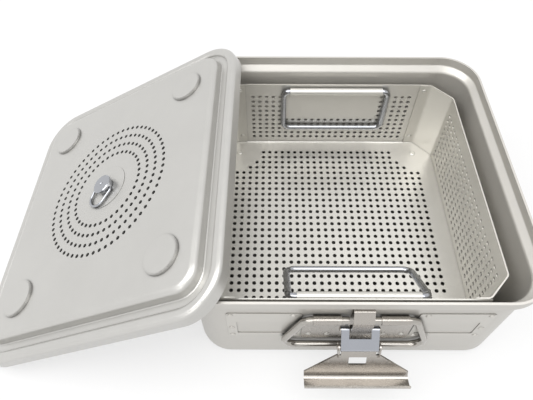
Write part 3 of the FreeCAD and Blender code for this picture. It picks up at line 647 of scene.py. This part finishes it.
# %% White surroundings
def looked_at(tree):
    """1 where the camera, a mirror or glass looks, else 0."""
    path = tree.nodes.new("ShaderNodeLightPath")
    seen = math_node(tree, "ADD", path.outputs["Is Camera Ray"], path.outputs["Is Glossy Ray"], clamp=True)
    seen = math_node(tree, "ADD", seen, path.outputs["Is Transmission Ray"], clamp=True)
    return seen


SKY_LIGHT = 0.6
GROUND_TONE = (0.3, 0.3, 0.3, 1)
GROUND_DROP = 0.5 * MM
GLOW_NEAR, GLOW_FAR = 0.65, 0.84
NEAR, FAR = 0.5, 1.8
world = bpy.data.worlds.new("studio")
bpy.context.scene.world = world
world.use_nodes = True
tree = world.node_tree
sky = tree.nodes["Background"]
seen = looked_at(tree)
level = tree.nodes.new("ShaderNodeMapRange")
tree.links.new(seen, level.inputs["Value"])
level.inputs["To Min"].default_value = SKY_LIGHT
level.inputs["To Max"].default_value = 1.0
tree.links.new(level.outputs["Result"], sky.inputs["Strength"])
sky.inputs["Color"].default_value = (1, 1, 1, 1)

bm = bmesh.new()
bmesh.ops.create_grid(bm, x_segments=1, y_segments=1, size=6.0)
mesh = bpy.data.meshes.new("ground")
bm.to_mesh(mesh)
bm.free()
ground = bpy.data.objects.new("ground", mesh)
ground.location.z = -GROUND_DROP
bpy.context.scene.collection.objects.link(ground)
cover = bpy.data.materials.new("white_ground")
cover.use_nodes = True
tree = cover.node_tree
shader = tree.nodes["Principled BSDF"]
shader.inputs["Base Color"].default_value = GROUND_TONE
shader.inputs["Roughness"].default_value = 0.9
seen = looked_at(tree)
shader.inputs["Emission Color"].default_value = (1, 1, 1, 1)
# Far from the lamps the ground glows a little more, so that it meets the sky without a line
spot = tree.nodes.new("ShaderNodeTexCoord")
away = tree.nodes.new("ShaderNodeVectorMath")
away.operation = "LENGTH"
tree.links.new(spot.outputs["Object"], away.inputs[0])
reach = tree.nodes.new("ShaderNodeMapRange")
reach.inputs["From Min"].default_value = NEAR
reach.inputs["From Max"].default_value = FAR
reach.inputs["To Min"].default_value = GLOW_NEAR
reach.inputs["To Max"].default_value = GLOW_FAR
tree.links.new(away.outputs["Value"], reach.inputs["Value"])
glow = math_node(tree, "MULTIPLY", seen, reach.outputs["Result"])
tree.links.new(glow, shader.inputs["Emission Strength"])
mesh.materials.append(cover)
print("ground and sky ready")

# %% [markdown]
# Pale satin metal looks flat in even light and hard under a small lamp. Three wide area lamps are between
# the two: one overhead that fills the open tub, one high on the left for the lid, and a weak one for the
# front wall.


# %% Soft lamps
def soft_lamp(name, place, aim, size, watts):
    lamp = bpy.data.lights.new(name, "AREA")
    lamp.shape = "RECTANGLE"
    lamp.size, lamp.size_y = size
    lamp.energy = watts
    holder = bpy.data.objects.new(name, lamp)
    holder.location = place
    look = Vector(aim) - Vector(place)
    holder.rotation_euler = look.to_track_quat("-Z", "Y").to_euler()
    bpy.context.scene.collection.objects.link(holder)


soft_lamp("overhead", (0.1, -0.3, 1.6), (0, 0, 0.05), (1.6, 1.2), 15)
soft_lamp("left_high", (-1.0, -0.2, 1.4), (0.1, 0, 0.05), (0.9, 0.9), 8)
soft_lamp("front_fill", (-0.7, -1.4, 1.0), (0, 0, 0.08), (1.0, 0.6), 3)

# %% [markdown]
# The camera stands close in front of the container and looks down into it. Its axes are given as three
# unit vectors, fitted to the rows of holes in the basket's floor, the walls and the rim, so that nothing
# has to be worked out from angles.

# %% Camera
EYE = (-0.0735, -0.2810, 0.5031)
camera_data = bpy.data.cameras.new("camera")
camera_data.sensor_width = 36
camera_data.lens = 34.31
camera_data.shift_x = -0.0079
camera_data.shift_y = -0.1126
camera = bpy.data.objects.new("camera", camera_data)
right = Vector((0.99999, 0.00234, 0.00295))
down = Vector((0.00367, -0.77389, -0.63331))
ahead = Vector((0.00080, 0.63331, -0.77390))
turn = Matrix((right, -down, -ahead)).transposed()
camera.matrix_world = Matrix.Translation(EYE) @ turn.to_4x4()
bpy.context.scene.collection.objects.link(camera)
bpy.context.scene.camera = camera
bpy.context.scene.view_settings.view_transform = "Standard"
print("camera at", [round(v, 4) for v in camera.location])
